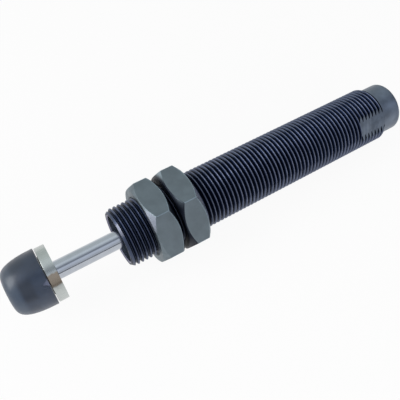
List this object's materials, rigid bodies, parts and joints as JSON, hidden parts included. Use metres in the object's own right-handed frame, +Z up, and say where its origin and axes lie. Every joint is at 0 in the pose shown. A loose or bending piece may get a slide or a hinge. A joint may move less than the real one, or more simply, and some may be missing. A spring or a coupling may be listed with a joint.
{
  "type": "industrial shock absorber",
  "caption": "Threaded cylindrical shock absorber with a spring-returned piston rod, a moulded impact cap on a steel button, and hexagon lock nuts on the body.",
  "frame": {"origin": "on the axis, in the plane of the body's rear end face", "axes": "+X along the axis from the rear end to the impact cap, the way the rod extends; +Z up, square to the flats of the lock nuts"},
  "size_m": [0.148, 0.03, 0.026],
  "materials": {
    "black_steel": "black-oxide threaded steel, satin",
    "ground_steel": "ground steel",
    "sintered_steel": "sintered steel",
    "spring_steel": "drawn spring wire",
    "foam": "closed-cell foam",
    "bronze": "plain bearing bronze",
    "bright_aluminium": "turned",
    "seal_rubber": "matte seal rubber",
    "green_polyurethane": "satin polyurethane",
    "dark_steel": "blackened steel",
    "phosphated_steel": "phosphated spring steel",
    "ball_steel": "polished ball",
    "screw_steel": "blackened screw",
    "guide_steel": "turned steel",
    "piston_iron": "machined iron",
    "ring_bronze": "machined bronze",
    "hard_chrome": "ground hard chrome",
    "bright_steel": "turned, satin nickel",
    "urethane": "moulded urethane, satin",
    "nut_steel": "black-oxide steel, satin"
  },
  "bodies": {
    "body": {"outer_tube": "black_steel", "pressure_tube": "ground_steel", "tube_head": "sintered_steel", "return_spring": "spring_steel", "accumulator_foam": "foam", "rod_bearing": "bronze", "seal_holder": "bright_aluminium", "holder_o_ring": "seal_rubber", "rod_seal": "green_polyurethane", "front_collar": "dark_steel", "rod_scraper": "seal_rubber", "retaining_ring": "phosphated_steel", "fill_ball": "ball_steel", "fill_screw": "screw_steel"},
    "spring_seat": {"spring_guide": "guide_steel"},
    "rod": {"piston_rod": "hard_chrome", "piston_head": "piston_iron", "impact_button": "bright_steel", "impact_cap": "urethane"},
    "check_ring": {"piston_ring": "ring_bronze"},
    "front_nut": {"front_nut": "nut_steel"},
    "rear_nut": {"rear_nut": "nut_steel"}
  },
  "joints": [
    {"name": "rod_stroke", "type": "slide", "parent": "body", "child": "spring_seat", "axis": [-1, 0, 0], "range_m": [0, 0.02], "stiffness_N_per_m": 550, "springref_m": -0.0164, "deforming": ["return_spring"]},
    {"name": "rod_spin", "type": "hinge", "parent": "spring_seat", "child": "rod", "pos_m": [0.0637, 0, 0], "axis": [1, 0, 0], "continuous": true},
    {"name": "check_ring_float", "type": "slide", "parent": "rod", "child": "check_ring", "axis": [1, 0, 0], "range_m": [0, 0.0005]},
    {"name": "front_nut_travel", "type": "slide", "parent": "body", "child": "front_nut", "axis": [1, 0, 0], "range_m": [0, 0.0075]},
    {"name": "rear_nut_travel", "type": "slide", "parent": "body", "child": "rear_nut", "axis": [-1, 0, 0], "range_m": [0, 0.063]}
  ]
}
